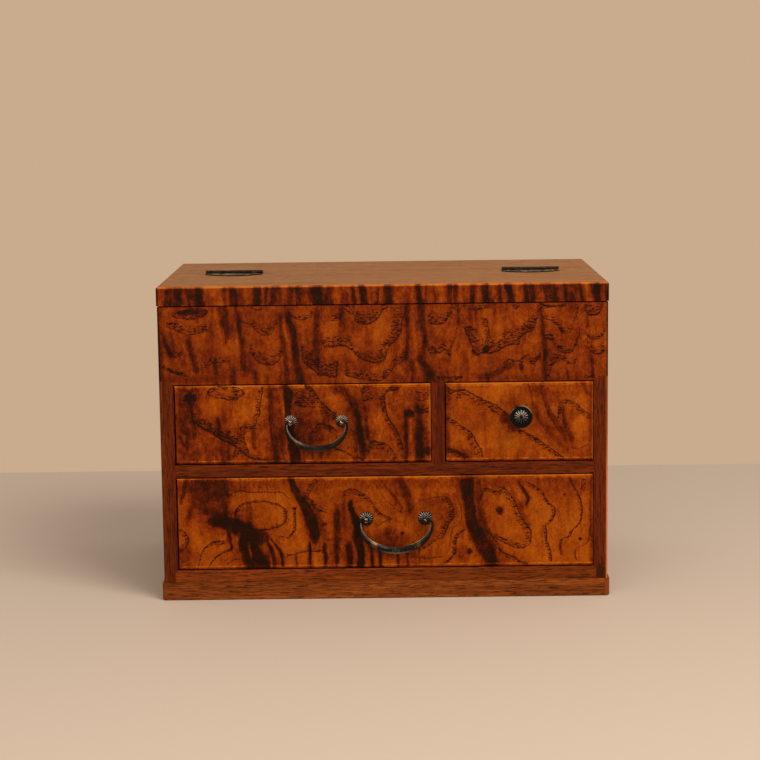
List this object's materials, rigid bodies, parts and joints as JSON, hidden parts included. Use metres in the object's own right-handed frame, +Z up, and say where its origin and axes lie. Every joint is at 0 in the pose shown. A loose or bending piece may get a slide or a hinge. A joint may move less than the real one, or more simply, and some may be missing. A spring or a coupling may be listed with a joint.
{
  "type": "sewing box",
  "caption": "Wooden sewing box on a plinth, with a wide lower drawer, two upper drawers, a top compartment under a hinged half lid, drop handles and a round knob.",
  "frame": {"origin": "middle of the whole object's footprint, on the surface it stands on", "axes": "+X to the right seen from the front, +Y from the front to the back, +Z up"},
  "size_m": [0.3632, 0.232, 0.2588],
  "materials": {
    "burl_wood": "glossy lacquer over figured burl",
    "frame_wood": "satin dark reddish brown, straight grain",
    "side_wood": "satin reddish brown, straight grain",
    "plinth_wood": "satin reddish brown with dark streaks",
    "top_wood": "matt lighter brown, straight grain",
    "inner_wood": "plain pale paulownia, unfinished",
    "peg_wood": "plain bamboo",
    "dark_metal": "dark patinated iron with worn highlights"
  },
  "bodies": {
    "case": {"plinth_front_rail": "plinth_wood", "plinth_back_rail": "plinth_wood", "plinth_left_rail": "plinth_wood", "plinth_right_rail": "plinth_wood", "left_side_panel": "side_wood", "right_side_panel": "side_wood", "left_stile": "frame_wood", "right_stile": "frame_wood", "bottom_board": "inner_wood", "bottom_rail": "frame_wood", "middle_rail": "frame_wood", "shelf_board": "inner_wood", "compartment_floor": "inner_wood", "divider_stile": "frame_wood", "divider_panel": "inner_wood", "front_panel": "burl_wood", "back_panel": "inner_wood", "rear_top_board": "top_wood", "left_hinge_rear_leaf": "dark_metal", "right_hinge_rear_leaf": "dark_metal", "left_hinge_pin": "dark_metal", "right_hinge_pin": "dark_metal", "rear_leaf_nails": "dark_metal"},
    "lid_flap": {"lid_flap_board": "top_wood", "lid_front_edging": "burl_wood", "left_hinge_front_leaf": "dark_metal", "right_hinge_front_leaf": "dark_metal", "front_leaf_nails": "dark_metal"},
    "lower_drawer": {"lower_drawer_front": "burl_wood", "lower_drawer_left_side": "inner_wood", "lower_drawer_right_side": "inner_wood", "lower_drawer_back": "inner_wood", "lower_drawer_bottom": "inner_wood", "lower_drawer_pegs": "peg_wood", "lower_handle_left_rosette": "dark_metal", "lower_handle_left_post": "dark_metal", "lower_handle_right_rosette": "dark_metal", "lower_handle_right_post": "dark_metal"},
    "upper_left_drawer": {"upper_left_drawer_front": "burl_wood", "upper_left_drawer_left_side": "inner_wood", "upper_left_drawer_right_side": "inner_wood", "upper_left_drawer_back": "inner_wood", "upper_left_drawer_bottom": "inner_wood", "upper_left_drawer_pegs": "peg_wood", "upper_handle_left_rosette": "dark_metal", "upper_handle_left_post": "dark_metal", "upper_handle_right_rosette": "dark_metal", "upper_handle_right_post": "dark_metal"},
    "upper_right_drawer": {"upper_right_drawer_front": "burl_wood", "upper_right_drawer_left_side": "inner_wood", "upper_right_drawer_right_side": "inner_wood", "upper_right_drawer_back": "inner_wood", "upper_right_drawer_bottom": "inner_wood", "upper_right_drawer_pegs": "peg_wood", "drawer_knob": "dark_metal", "knob_flower_pin": "dark_metal"},
    "lower_bail": {"lower_handle_bail": "dark_metal"},
    "upper_bail": {"upper_handle_bail": "dark_metal"}
  },
  "joints": [
    {"name": "lid_hinge", "type": "hinge", "parent": "case", "child": "lid_flap", "pos_m": [0, 0.007, 0.2574], "axis": [-1, 0, 0], "range_deg": [0, 180]},
    {"name": "lower_drawer_slide", "type": "slide", "parent": "case", "child": "lower_drawer", "axis": [0, -1, 0], "range_m": [0, 0.18]},
    {"name": "upper_left_drawer_slide", "type": "slide", "parent": "case", "child": "upper_left_drawer", "axis": [0, -1, 0], "range_m": [0, 0.18]},
    {"name": "upper_right_drawer_slide", "type": "slide", "parent": "case", "child": "upper_right_drawer", "axis": [0, -1, 0], "range_m": [0, 0.18]},
    {"name": "lower_bail_swing", "type": "hinge", "parent": "lower_drawer", "child": "lower_bail", "pos_m": [0.0086, -0.1066, 0.06585], "axis": [-1, 0, 0], "range_deg": [-5, 185]},
    {"name": "upper_bail_swing", "type": "hinge", "parent": "upper_left_drawer", "child": "upper_bail", "pos_m": [-0.05425, -0.1066, 0.14625], "axis": [-1, 0, 0], "range_deg": [-5, 185]}
  ]
}
